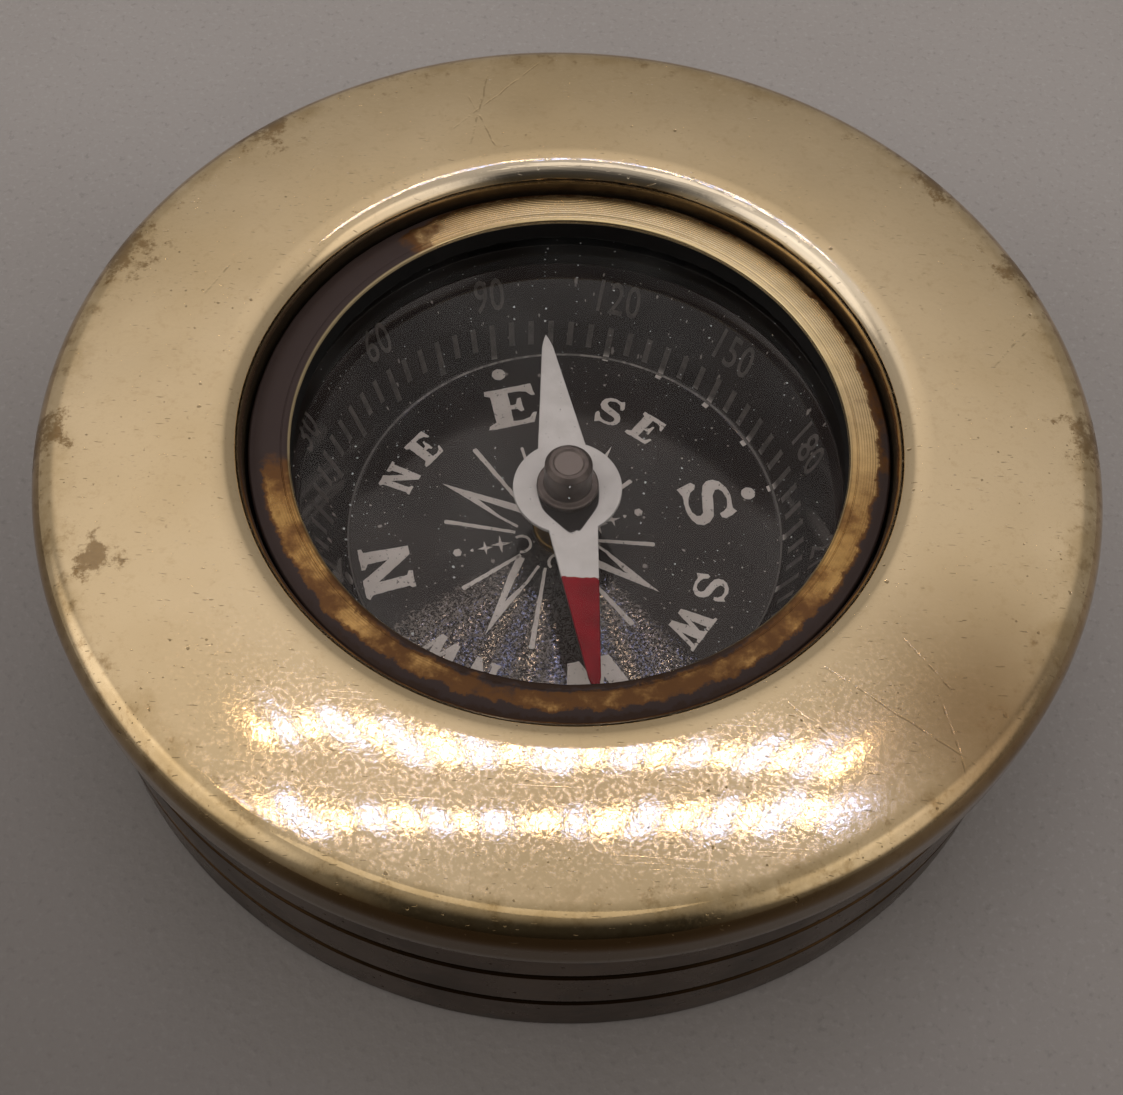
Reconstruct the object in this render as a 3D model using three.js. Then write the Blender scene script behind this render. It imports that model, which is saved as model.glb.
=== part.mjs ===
// Paperweight compass: a heavy turned brass drum, a domed brass ring with a rolled lip that screws
// down into it, and between them a glazed compass capsule with a dished dial and a pivoted needle.
// Units are millimetres and +Z is up. The origin is the centre of the underside.

import * as THREE from 'three';

// Brass drum: the three bands that two turned grooves leave on its side, its foot and its top rim.
const lowerBand = 5.75;
const middleBand = 6.0;
const upperBand = 5.55;
const grooveWidth = 0.9;
const grooveDepth = 0.6;
const grooveFloor = 0.2;
const drumEdgeBreak = 0.4;
const footWidth = 4.0;
const footRelief = 0.5;
const drumCollarWall = 5.1;

// Domed ring on top: its width, how far it stands out past the drum, its edge, the low dome whose
// crest lies nearer the window, and the lip, which rolls over by a share of a quarter turn and then
// has a small edge round down into the bore.
const ringWidth = 14.7;
const ringOverhang = 0.7;
const ringUnderBreak = 0.25;
const ringRimHeight = 2.3;
const ringEdgeRound = 2.2;
const ringDomeRise = 0.17;
const domeCrestShare = 0.7;
const lipRound = 3.0;
const lipTurnShare = 0.24;
const lipEdgeRound = 0.4;
const capsuleGap = 0.2;
const spigotDepth = 3.0;
const spigotClearance = 0.2;
const spigotEdgeBreak = 0.4;

// Glass, and the ring and gasket that hold it down.
const glassThickness = 1.5;
const glassEdgeBreak = 0.25;
const glassCapClearance = 0.45;
const gasketThickness = 0.2;
const gasketWidth = 1.4;
const bezelGrip = 1.6;
const bezelInnerEdge = 1.9;
const bezelInnerBreak = 0.2;
const bezelCrownRise = 0.08;
const bezelOuterDrop = 0.15;
const bezelOuterRound = 0.25;
const bezelSkirtWall = 0.65;
const bezelFit = 0.05;
const bezelSkirtGap = 0.3;

// Capsule cup: wall beside the glass, the ledge under the dial's rim, floor and clamping flange.
const cupClearance = 0.1;
const cupWall = 0.6;
const cupLedge = 0.5;
const cupFloor = 0.8;
const cupFloorGap = 0.3;
const cupRimGap = 0.25;
const cupEdgeBreak = 0.4;
const clampWidth = 4.1;
const clampThickness = 0.8;
const drumBoreClearance = 0.5;
const drumBoreGap = 0.3;

// Dial: a pressed sheet with a flat face, a steep conical rim for the degrees and a narrow flange.
const dialFaceRadius = 17.2;
const dialRimRun = 3.4;
const dialFlange = 1.1;
const dialDepth = 7.4;
const dialSheet = 0.4;
const dialBend = 0.35;
const spacerInset = 0.15;

// Pivot post, riveted through the middle of the dial, and the steel pin that stands in it.
const postFootRadius = 2.6;
const postFootThickness = 0.6;
const postRadius = 1.3;
const postCapGap = 1.5;
const postEdgeBreak = 0.25;
const postTailRadius = 1.15;
const postTailFit = 0.05;
const rivetRadius = 1.9;
const rivetThickness = 0.4;
const pinRadius = 0.4;
const pinFit = 0.03;
const pinSeatDepth = 2.0;
const pinPointLength = 1.6;
const pinTipRadius = 0.05;
const pivotClearance = 0.1;

// Needle blade: a flat ring with two tapering arms, hung below the dial's rim. The red arm reaches
// just past the dial's flat face, and the plain arm is trimmed shorter to balance.
const bladeDrop = 1.9;
const bladeThickness = 0.4;
const bladeRingRadius = 4.15;
const armHalfWidth = 1.85;
const tipHalfWidth = 0.45;
const tipPointLength = 1.3;
const redArmOverreach = 0.2;
const plainArmTrim = 2.7;
const needleBearing = THREE.MathUtils.degToRad(99.3);

// Needle cap: a stepped turned cup whose flange sits on the blade and whose neck is staked below.
const capHeight = 3.3;
const capBoreRadius = 0.9;
const capNeckWall = 0.7;
const capNeckFit = 0.05;
const capShoulder = 0.2;
const capBevel = 0.35;
const capTopRim = 0.25;
const capDishDepth = 0.15;
const capFlangeWidth = 0.55;
const capFlangeThickness = 0.5;
const capFlangeBreak = 0.15;
const capStakeWidth = 0.4;
const capStakeThickness = 0.3;
const capCrown = 0.5;

// Jewel in the cap: a small cylinder with the conical cup that runs on the pin's point.
const jewelFit = 0.03;
const jewelHeight = 1.0;
const jewelConeWall = 0.27;
const jewelConeDepth = 0.65;

// How finely round forms are faceted.
const largeTurns = 56;
const smallTurns = 28;
const roundSteps = 6;
const fineSteps = 3;
const domeSteps = 6;

// Heights of the seats, from the underside up.
const jointZ = lowerBand + middleBand + upperBand;
const clampTopZ = jointZ - spigotDepth;
const clampSeatZ = clampTopZ - clampThickness;
const dialRimZ = clampSeatZ + dialSheet;
const dialFaceZ = dialRimZ - dialDepth;
const cupFloorZ = dialFaceZ - dialSheet - rivetThickness - cupFloorGap;
const cupBottomZ = cupFloorZ - cupFloor;
const drumBoreZ = cupBottomZ - drumBoreGap;
const bladeBottomZ = dialRimZ - bladeDrop;
const bladeTopZ = bladeBottomZ + bladeThickness;
const capTopZ = bladeTopZ + capHeight;
const jewelTopZ = capTopZ - capCrown;
const jewelBottomZ = jewelTopZ - jewelHeight;
const pinTipZ = jewelBottomZ + jewelConeDepth - pivotClearance;
const postFootTopZ = dialFaceZ + postFootThickness;
const postTopZ = bladeBottomZ - capStakeThickness - postCapGap;
const pinSeatZ = postTopZ - pinSeatDepth;
const glassBottomZ = capTopZ + glassCapClearance;
const glassTopZ = glassBottomZ + glassThickness;
const bezelSeatZ = glassTopZ + gasketThickness;
const bezelEdgeZ = bezelSeatZ + bezelInnerEdge;

// Radii that follow from the dial's face outwards.
const dialRimRadius = dialFaceRadius + dialRimRun;
const glassRadius = dialRimRadius + dialFlange;
const cupBoreRadius = glassRadius + cupClearance;
const cupRadius = cupBoreRadius + cupWall;
const cupLedgeRadius = cupBoreRadius - cupLedge;
const bezelSkirtBore = cupRadius + bezelFit;
const bezelRadius = bezelSkirtBore + bezelSkirtWall;
const windowRadius = glassRadius - bezelGrip;
const ringBoreRadius = bezelRadius + capsuleGap;
const ringRadius = ringBoreRadius + ringWidth;
const drumRadius = ringRadius - ringOverhang;
const drumCollarRadius = drumRadius - drumCollarWall;
const spigotRadius = drumCollarRadius - spigotClearance;
const drumBoreRadius = cupRadius + drumBoreClearance;

// The needle's arms, and the radii of its cap and jewel from the bore outwards.
const redArmLength = dialFaceRadius + redArmOverreach;
const plainArmLength = redArmLength - plainArmTrim;
const capNeckRadius = capBoreRadius + capNeckWall;
const capRadius = capNeckRadius + capShoulder;
const capDishRadius = capRadius - capBevel - capTopRim;
const capFlangeRadius = capRadius + capFlangeWidth;
const capStakeRadius = capNeckRadius + capStakeWidth;
const jewelRadius = capBoreRadius - jewelFit;

// Angle between the dial's conical rim and the flat face.
const rimAngle = Math.atan2(dialDepth, dialRimRun);

const polishedBrass = { color: 0xcdb078, roughness: 0.22, metalness: 1 };
const sideBrass = { color: 0x9c7f4a, roughness: 0.35, metalness: 1 };
const tarnishedBrass = { color: 0x8b6a3c, roughness: 0.45, metalness: 1 };
const blackedBrass = { color: 0x1d1a18, roughness: 0.5, metalness: 0.3 };
const blackEnamel = { color: 0x1b1a1b, roughness: 0.4, metalness: 0.1 };
const blackPaper = { color: 0x151413, roughness: 0.9, metalness: 0 };
const clearGlass = { color: 0xdfe8e6, roughness: 0.03, metalness: 0, transparent: true, opacity: 0.25 };
const plainSteel = { color: 0x8d8f92, roughness: 0.3, metalness: 1 };
const whitePaint = { color: 0xc9c5c0, roughness: 0.45, metalness: 0 };
const darkBrass = { color: 0x4a443f, roughness: 0.35, metalness: 0.8 };
const agate = { color: 0x7a4a3a, roughness: 0.15, metalness: 0 };

function named(name, geometry, look) {
  const mesh = new THREE.Mesh(geometry, new THREE.MeshStandardMaterial(look));
  mesh.name = name;
  return mesh;
}

// A piece turned about the Z axis from an outline of [radius, height] points, which runs
// counter-clockwise and either closes on itself or starts and ends on the axis.
function turned(name, outline, turns, look) {
  const points = outline.map(([radius, height]) => new THREE.Vector2(radius, height));
  const geometry = new THREE.LatheGeometry(points, turns);
  geometry.rotateX(Math.PI / 2);
  return named(name, geometry, look);
}

function closed(outline) {
  return [...outline, outline[0]];
}

// Points on an arc about a centre, from one angle to another in quarter turns.
function arc(centreRadius, centreHeight, radius, fromQuarter, toQuarter, steps) {
  const points = [];
  for (let i = 0; i <= steps; i += 1) {
    const quarter = fromQuarter + ((toQuarter - fromQuarter) * i) / steps;
    const angle = (quarter * Math.PI) / 2;
    points.push([centreRadius + radius * Math.cos(angle), centreHeight + radius * Math.sin(angle)]);
  }
  return points;
}

// One V groove in the drum's side, centred at a height.
function groove(height) {
  return [
    [drumRadius, height - grooveWidth / 2],
    [drumRadius - grooveDepth, height - grooveFloor / 2],
    [drumRadius - grooveDepth, height + grooveFloor / 2],
    [drumRadius, height + grooveWidth / 2],
  ];
}

function makeDrum() {
  const footInner = drumRadius - footWidth;
  return turned('drum_body', [
    [0, footRelief],
    [footInner - footRelief, footRelief],
    [footInner, 0],
    [drumRadius - drumEdgeBreak, 0],
    [drumRadius, drumEdgeBreak],
    ...groove(lowerBand),
    ...groove(lowerBand + middleBand),
    [drumRadius, jointZ - drumEdgeBreak],
    [drumRadius - drumEdgeBreak, jointZ],
    [drumCollarRadius, jointZ],
    [drumCollarRadius, clampSeatZ],
    [drumBoreRadius, clampSeatZ],
    [drumBoreRadius, drumBoreZ],
    [0, drumBoreZ],
  ], largeTurns, sideBrass);
}

// Height of the low dome over its outer shoulder, at a share of the way in towards the lip. It is a
// parabola about the crest.
function domeHeight(share) {
  const fromCrest = (share - domeCrestShare) / domeCrestShare;
  return ringDomeRise * (1 - fromCrest * fromCrest);
}

function domeOutline(outerRadius, innerRadius, height) {
  const points = [];
  for (let i = 1; i < domeSteps; i += 1) {
    const share = i / domeSteps;
    points.push([outerRadius + (innerRadius - outerRadius) * share, height + domeHeight(share)]);
  }
  return points;
}

function makeCoverRing() {
  const edgeCentre = ringRadius - ringEdgeRound;
  const edgeCentreZ = jointZ + ringRimHeight;
  const shoulderZ = edgeCentreZ + ringEdgeRound;
  const lipTurn = (lipTurnShare * Math.PI) / 2;
  const lipEdgeCentre = ringBoreRadius + lipEdgeRound;
  const lipCentre = lipEdgeCentre + (lipRound - lipEdgeRound) * Math.sin(lipTurn);
  const lipCentreZ = shoulderZ + domeHeight(1) - lipRound;
  const lipEdgeCentreZ = lipCentreZ + (lipRound - lipEdgeRound) * Math.cos(lipTurn);
  return turned('cover_ring', closed([
    [ringBoreRadius, clampTopZ],
    [spigotRadius - spigotEdgeBreak, clampTopZ],
    [spigotRadius, clampTopZ + spigotEdgeBreak],
    [spigotRadius, jointZ],
    [ringRadius - ringUnderBreak, jointZ],
    [ringRadius, jointZ + ringUnderBreak],
    ...arc(edgeCentre, edgeCentreZ, ringEdgeRound, 0, 1, roundSteps),
    ...domeOutline(edgeCentre, lipCentre, shoulderZ),
    ...arc(lipCentre, lipCentreZ, lipRound, 1, 1 + lipTurnShare, fineSteps),
    ...arc(lipEdgeCentre, lipEdgeCentreZ, lipEdgeRound, 1 + lipTurnShare, 2, fineSteps).slice(1),
  ]), largeTurns, polishedBrass);
}

function makeCup() {
  const rimZ = bezelSeatZ - cupRimGap;
  const clampRadius = cupRadius + clampWidth;
  return turned('capsule_cup', [
    [0, cupBottomZ],
    [cupRadius - cupEdgeBreak, cupBottomZ],
    [cupRadius, cupBottomZ + cupEdgeBreak],
    [cupRadius, clampSeatZ],
    [clampRadius, clampSeatZ],
    [clampRadius, clampTopZ],
    [cupRadius, clampTopZ],
    [cupRadius, rimZ],
    [cupBoreRadius, rimZ],
    [cupBoreRadius, clampSeatZ],
    [cupLedgeRadius, clampSeatZ],
    [cupLedgeRadius, cupFloorZ],
    [0, cupFloorZ],
  ], largeTurns, blackedBrass);
}

// The pressed dial: its upper side and, one sheet thickness below along the slope, its underside.
function makeDial() {
  const slopeWall = dialSheet / Math.sin(rimAngle);
  const bendStep = dialSheet * Math.tan(rimAngle / 2);
  const bendRise = dialBend * Math.sin(rimAngle);
  const bendRun = dialBend * Math.cos(rimAngle);
  const holeRadius = postTailRadius + postTailFit;
  const underZ = dialFaceZ - dialSheet;
  const underRimRadius = dialRimRadius + slopeWall - dialSheet / Math.tan(rimAngle);
  return turned('dial_plate', closed([
    [holeRadius, underZ],
    [dialFaceRadius + bendStep - dialBend, underZ],
    [dialFaceRadius + bendStep + bendRun, underZ + bendRise],
    [underRimRadius, dialRimZ - dialSheet],
    [glassRadius, dialRimZ - dialSheet],
    [glassRadius, dialRimZ],
    [dialRimRadius, dialRimZ],
    [dialFaceRadius + bendRun, dialFaceZ + bendRise],
    [dialFaceRadius - dialBend, dialFaceZ],
    [holeRadius, dialFaceZ],
  ]), largeTurns, blackEnamel);
}

function makeSpacer() {
  const inner = dialRimRadius + spacerInset;
  return turned('spacer_ring', closed([
    [inner, dialRimZ],
    [glassRadius, dialRimZ],
    [glassRadius, glassBottomZ],
    [inner, glassBottomZ],
  ]), largeTurns, blackedBrass);
}

function makeGlass() {
  return turned('glass', [
    [0, glassBottomZ],
    [glassRadius - glassEdgeBreak, glassBottomZ],
    [glassRadius, glassBottomZ + glassEdgeBreak],
    [glassRadius, glassTopZ - glassEdgeBreak],
    [glassRadius - glassEdgeBreak, glassTopZ],
    [0, glassTopZ],
  ], largeTurns, clearGlass);
}

function makeGasket() {
  const inner = glassRadius - gasketWidth;
  return turned('glass_gasket', closed([
    [inner, glassTopZ],
    [glassRadius, glassTopZ],
    [glassRadius, bezelSeatZ],
    [inner, bezelSeatZ],
  ]), largeTurns, blackPaper);
}

// The retaining ring has a thin edge break round the window, a low crown and a skirt over the cup.
function makeBezel() {
  const crownInner = windowRadius + bezelInnerBreak;
  const roundCentre = bezelRadius - bezelOuterRound;
  const roundCentreZ = bezelEdgeZ - bezelOuterDrop - bezelOuterRound;
  const crownMiddle = (crownInner + roundCentre) / 2;
  const skirtZ = clampTopZ + bezelSkirtGap;
  return turned('bezel_ring', closed([
    [windowRadius, bezelSeatZ],
    [bezelSkirtBore, bezelSeatZ],
    [bezelSkirtBore, skirtZ],
    [bezelRadius, skirtZ],
    ...arc(roundCentre, roundCentreZ, bezelOuterRound, 0, 1, fineSteps),
    [crownMiddle, bezelEdgeZ + bezelCrownRise],
    [crownInner, bezelEdgeZ],
    [windowRadius, bezelEdgeZ - bezelInnerBreak],
  ]), largeTurns, tarnishedBrass);
}

function makePost() {
  const tailBottomZ = dialFaceZ - dialSheet - rivetThickness;
  const rivetTopZ = dialFaceZ - dialSheet;
  const boreRadius = pinRadius + pinFit;
  return turned('pivot_post', [
    [0, tailBottomZ],
    [rivetRadius - rivetThickness / 2, tailBottomZ],
    [rivetRadius, tailBottomZ + rivetThickness / 2],
    [rivetRadius, rivetTopZ],
    [postTailRadius, rivetTopZ],
    [postTailRadius, dialFaceZ],
    [postFootRadius, dialFaceZ],
    [postFootRadius, postFootTopZ - postEdgeBreak],
    [postFootRadius - postEdgeBreak, postFootTopZ],
    [postRadius, postFootTopZ],
    [postRadius, postTopZ - postEdgeBreak],
    [postRadius - postEdgeBreak, postTopZ],
    [boreRadius, postTopZ],
    [boreRadius, pinSeatZ],
    [0, pinSeatZ],
  ], smallTurns, sideBrass);
}

function makePin() {
  return turned('pivot_pin', [
    [0, pinSeatZ],
    [pinRadius, pinSeatZ],
    [pinRadius, pinTipZ - pinPointLength],
    [pinTipRadius, pinTipZ - pinTipRadius],
    [0, pinTipZ],
  ], smallTurns, plainSteel);
}

// One arm's edge from the ring to its point, on the side given by the sign.
function drawArmOut(shape, side, reach) {
  const along = Math.sign(reach);
  const shoulder = reach - along * tipPointLength;
  shape.lineTo(side * tipHalfWidth, shoulder);
  shape.quadraticCurveTo(side * tipHalfWidth / 2, reach - (along * tipPointLength) / 3, 0, reach);
}

function drawArmBack(shape, side, reach) {
  const along = Math.sign(reach);
  const shoulder = reach - along * tipPointLength;
  shape.quadraticCurveTo(side * tipHalfWidth / 2, reach - (along * tipPointLength) / 3,
    side * tipHalfWidth, shoulder);
}

function makeBlade() {
  const meet = Math.acos(armHalfWidth / bladeRingRadius);
  const root = bladeRingRadius * Math.sin(meet);
  const outline = new THREE.Shape();
  outline.moveTo(armHalfWidth, -root);
  outline.absarc(0, 0, bladeRingRadius, -meet, meet, false);
  drawArmOut(outline, 1, plainArmLength);
  drawArmBack(outline, -1, plainArmLength);
  outline.lineTo(-armHalfWidth, root);
  outline.absarc(0, 0, bladeRingRadius, Math.PI - meet, Math.PI + meet, false);
  drawArmOut(outline, -1, -redArmLength);
  drawArmBack(outline, 1, -redArmLength);
  const hole = new THREE.Path();
  hole.absarc(0, 0, capNeckRadius + capNeckFit, 0, 2 * Math.PI, true);
  outline.holes.push(hole);
  const geometry = new THREE.ExtrudeGeometry(outline, {
    depth: bladeThickness,
    bevelEnabled: false,
    curveSegments: smallTurns,
  });
  geometry.translate(0, 0, bladeBottomZ);
  return named('needle_blade', geometry, whitePaint);
}

function makeCap() {
  const flangeTopZ = bladeTopZ + capFlangeThickness;
  const stakeZ = bladeBottomZ - capStakeThickness;
  return turned('needle_cap', closed([
    [capBoreRadius, stakeZ],
    [capStakeRadius - capStakeThickness / 2, stakeZ],
    [capStakeRadius, bladeBottomZ - capStakeThickness / 2],
    [capStakeRadius, bladeBottomZ],
    [capNeckRadius, bladeBottomZ],
    [capNeckRadius, bladeTopZ],
    [capFlangeRadius, bladeTopZ],
    [capFlangeRadius, flangeTopZ - capFlangeBreak],
    [capFlangeRadius - capFlangeBreak, flangeTopZ],
    [capRadius, flangeTopZ],
    [capRadius, capTopZ - capBevel],
    [capRadius - capBevel, capTopZ],
    [capDishRadius, capTopZ],
    [capDishRadius - capDishDepth, capTopZ - capDishDepth],
    [0, capTopZ - capDishDepth],
    [0, jewelTopZ],
    [capBoreRadius, jewelTopZ],
  ]), smallTurns, darkBrass);
}

function makeJewel() {
  return turned('cap_jewel', [
    [0, jewelBottomZ + jewelConeDepth],
    [jewelRadius - jewelConeWall, jewelBottomZ],
    [jewelRadius, jewelBottomZ],
    [jewelRadius, jewelTopZ],
    [0, jewelTopZ],
  ], smallTurns, agate);
}

const needle = new THREE.Group();
needle.add(makeBlade(), makeCap(), makeJewel());
needle.rotation.z = needleBearing - Math.PI / 2;

const compass = new THREE.Group();
compass.add(
  makeDrum(),
  makeCoverRing(),
  makeCup(),
  makeDial(),
  makeSpacer(),
  makeGlass(),
  makeGasket(),
  makeBezel(),
  makePost(),
  makePin(),
  needle,
);

export default compass;
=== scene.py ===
import math
import bpy
import bmesh
from mathutils import Matrix, Vector, noise


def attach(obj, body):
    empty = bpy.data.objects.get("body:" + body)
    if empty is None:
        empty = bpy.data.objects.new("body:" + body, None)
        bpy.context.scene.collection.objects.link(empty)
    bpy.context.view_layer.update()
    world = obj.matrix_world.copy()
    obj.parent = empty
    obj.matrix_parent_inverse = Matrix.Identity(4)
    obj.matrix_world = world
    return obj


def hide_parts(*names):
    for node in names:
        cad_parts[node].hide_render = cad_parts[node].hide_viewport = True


# Looks of the paperweight compass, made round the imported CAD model. Sizes are millimetres in the
# CAD frame, and meshes are made in metres.

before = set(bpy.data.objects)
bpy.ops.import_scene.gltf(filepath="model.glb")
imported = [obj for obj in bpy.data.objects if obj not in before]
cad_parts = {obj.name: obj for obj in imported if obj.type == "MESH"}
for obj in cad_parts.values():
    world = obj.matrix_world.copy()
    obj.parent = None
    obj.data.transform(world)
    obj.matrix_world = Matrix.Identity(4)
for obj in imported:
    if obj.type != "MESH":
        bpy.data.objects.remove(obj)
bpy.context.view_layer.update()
MM = 0.001
TAU = 2 * math.pi

# Radii and heights that the visible pieces share with their CAD solids.
EDGE_RADIUS = 38.0
BODY_RADIUS = 37.3
SPIGOT_RADIUS = 32.0
BORE_RADIUS = 23.3
JOINT_Z = 17.3
CLAMP_TOP_Z = 14.3
DIAL_RIM_Z = 13.9
DIAL_FACE_Z = 6.5
DIAL_FOLD_RADIUS = 17.2
DIAL_RIM_RADIUS = 20.6
GLASS_RADIUS = 21.7
GLASS_BOTTOM_Z = 16.15
GLASS_TOP_Z = 17.65
BEZEL_SEAT_Z = 17.85
BEZEL_INNER = 20.1
BEZEL_OUTER = 23.1
BLADE_BOTTOM_Z = 12.0
BLADE_TOP_Z = 12.4
NEEDLE_BEARING = math.radians(99.3)
GROOVE_MIDDLES = (5.75, 11.75)

# The press turned the flat dial sheet up at the fold, with a small bend.
CONE_ANGLE = math.atan2(DIAL_RIM_Z - DIAL_FACE_Z, DIAL_RIM_RADIUS - DIAL_FOLD_RADIUS)
BEND_REACH = 0.35

# The print sits off the dial's centre, and its north lies near the photograph's left.
PRINT_CENTRE = Vector((-1.14, -1.03))
NORTH_BEARING = math.radians(198.0)
PRINT_LIFT = 0.02

# Camera, solved from the outlines of the ring, the lip, the window and the base.
IMAGE_WIDTH_PX = 1123
FOCAL_PX = 1600
SENSOR_WIDTH = 36
CAMERA_TILT = 1.032256
CAMERA_ROLL = 0.051305
CAMERA_AIM_Z = 20.155
CAMERA_DISTANCE = 114.79
CAMERA_SIDE = 0.2245
CAMERA_RISE = 8.624


def placed(name, data):
    """A new object in the scene."""
    made = bpy.data.objects.new(name, data)
    bpy.context.scene.collection.objects.link(made)
    return made


def place_camera():
    """The photograph's camera, solved as a distance, a tilt and a roll about the object's axis."""
    right = Vector((1, 0, 0))
    up = Vector((0, math.sin(CAMERA_TILT), math.cos(CAMERA_TILT)))
    back = Vector((0, -math.cos(CAMERA_TILT), math.sin(CAMERA_TILT)))
    place = Vector((0, 0, CAMERA_AIM_Z)) + back * CAMERA_DISTANCE
    place -= right * CAMERA_SIDE + up * CAMERA_RISE
    rolled_right = right * math.cos(CAMERA_ROLL) + up * math.sin(CAMERA_ROLL)
    rolled_up = up * math.cos(CAMERA_ROLL) - right * math.sin(CAMERA_ROLL)
    lens = bpy.data.cameras.new("camera")
    lens.sensor_width = SENSOR_WIDTH
    lens.lens = SENSOR_WIDTH * FOCAL_PX / IMAGE_WIDTH_PX
    lens.clip_start = 0.005
    camera = placed("camera", lens)
    turn = Matrix((rolled_right, rolled_up, back)).transposed().to_4x4()
    turn.translation = place * MM
    camera.matrix_world = turn
    bpy.context.scene.camera = camera


place_camera()


# Materials

def srgb(text):
    """An sRGB hex colour as linear RGBA."""
    parts = [int(text[i:i + 2], 16) / 255 for i in (0, 2, 4)]
    return [c / 12.92 if c <= 0.04045 else ((c + 0.055) / 1.055) ** 2.4 for c in parts] + [1]


def is_output(value):
    return isinstance(value, bpy.types.NodeSocket)


def give(node, inputs):
    """Sets inputs of a node, each to a value, an sRGB hex colour or another node's output."""
    for name, value in inputs.items():
        if is_output(value):
            node.id_data.links.new(value, node.inputs[name])
        else:
            node.inputs[name].default_value = srgb(value) if isinstance(value, str) else value
    return node


def add(kind, inputs=None, tree=None, **settings):
    """Adds a node with its settings and inputs, to the tree of the outputs among its inputs or to the
    tree that is given."""
    inputs = inputs or {}
    tree = tree or next(filter(is_output, inputs.values())).id_data
    made = tree.nodes.new(kind)
    for name, value in settings.items():
        setattr(made, name, value)
    return give(made, inputs)


def new_look(name):
    """A material, its Principled shader, and the Object coordinates that its patterns read."""
    look = bpy.data.materials.new(name)
    look.use_nodes = True
    place = add("ShaderNodeTexCoord", tree=look.node_tree).outputs["Object"]
    return look, look.node_tree.nodes["Principled BSDF"], place


def math_of(operation, *values, clamp=False):
    inputs = dict(enumerate(values))
    return add("ShaderNodeMath", inputs, operation=operation, use_clamp=clamp).outputs[0]


def times(first, *others):
    for other in others:
        first = math_of("MULTIPLY", first, other)
    return first


def plus(first, *others):
    for other in others:
        first = math_of("ADD", first, other)
    return first


def minus(first, second):
    return math_of("SUBTRACT", first, second)


def vector_of(operation, *values):
    """Vector arithmetic: the node, whose first output is a vector and whose second is a number."""
    return add("ShaderNodeVectorMath", dict(enumerate(values)), operation=operation)


def axes(place):
    return add("ShaderNodeSeparateXYZ", {"Vector": place}).outputs


def ramp(value, low, high, to_low=0.0, to_high=1.0):
    """A smooth step of a value between two limits."""
    inputs = {"Value": value, "From Min": low, "From Max": high, "To Min": to_low, "To Max": to_high}
    return add("ShaderNodeMapRange", inputs, interpolation_type="SMOOTHSTEP").outputs[0]


def mix(share, first, second):
    """A mix of two colours, each an sRGB hex colour or an output."""
    return add("ShaderNodeMix", {0: share, 6: first, 7: second}, data_type="RGBA").outputs[2]


def layered(colour, *coats):
    """A colour under coats, each a mask, its greatest share and its own colour."""
    for mask, most, coat in coats:
        colour = mix(times(mask, most), colour, coat)
    return colour


def grain(place, size, detail=3.0, roughness=0.5, stretch=(1, 1, 1), turn=0.0):
    """Noise whose features are about a size in millimetres."""
    mapped = add("ShaderNodeMapping", {"Vector": place, "Scale": stretch, "Rotation": (0, 0, turn)})
    inputs = {"Vector": mapped.outputs[0], "Scale": 1 / (size * MM), "Detail": detail, "Roughness": roughness}
    return add("ShaderNodeTexNoise", inputs).outputs["Fac"]


def cells(place, size):
    """Flat cells of a size: the distance to a cell's point, and three random numbers of the cell."""
    made = add("ShaderNodeTexVoronoi", {"Vector": place, "Scale": 1 / (size * MM)}, voronoi_dimensions="2D")
    return made.outputs["Distance"], add("ShaderNodeSeparateColor", {"Color": made.outputs["Color"]}).outputs


def specks(place, spacing, radius, share):
    """A mask of uneven specks seen from above: cells a spacing apart, of which a share hold one of up to
    that radius."""
    inputs = {"Vector": place, "Scale": 0.5 / (radius * MM), "Detail": 2}
    wobble = add("ShaderNodeTexNoise", inputs).outputs["Color"]
    bent = vector_of("MULTIPLY_ADD", wobble, (1.4 * radius * MM,) * 3, place).outputs[0]
    distance, (pick, size, rest) = cells(bent, spacing)
    edge = plus(times(size, 0.75 * radius / spacing), 0.25 * radius / spacing)
    return times(ramp(distance, edge, times(edge, 0.5)), math_of("LESS_THAN", pick, share))


def hairlines(place, turn, length, width, share):
    """A mask of fine straight scratches along one direction."""
    fine = grain(place, 1.0, 1.0, 0.5, (1 / length, 1 / width, 1 / length), turn)
    return ramp(fine, share, share + 0.06)


def bump(height, depth, normal=None):
    """A bump whose full height is a depth in millimetres, over another bump."""
    under = {"Normal": normal} if normal else {}
    return add("ShaderNodeBump", {"Height": height, "Distance": depth * MM, **under}).outputs[0]


def relief_of(*layers):
    """Bumps one over another, each a height and its depth."""
    normal = None
    for height, depth in layers:
        normal = bump(height, depth, normal)
    return normal


def polar(place):
    """Radius in millimetres, angle, and height in millimetres of a place."""
    x, y, z = axes(place)
    radius = math_of("SQRT", plus(times(x, x), times(y, y)))
    return math_of("DIVIDE", radius, MM), math_of("ARCTAN2", y, x), math_of("DIVIDE", z, MM)


def near_bearing(angle, bearing, reach):
    """One where the angle is at a bearing in degrees, falling to nought at a reach in degrees."""
    apart = math_of("COSINE", minus(angle, math.radians(bearing)))
    return ramp(apart, math.cos(math.radians(reach)), 1.0)


def near_place(place, x, y, z, reach):
    """One at a place in millimetres, falling to nought at a reach."""
    apart = vector_of("DISTANCE", place, (x * MM, y * MM, z * MM)).outputs[1]
    return ramp(apart, reach * MM, 0.0)


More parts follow.
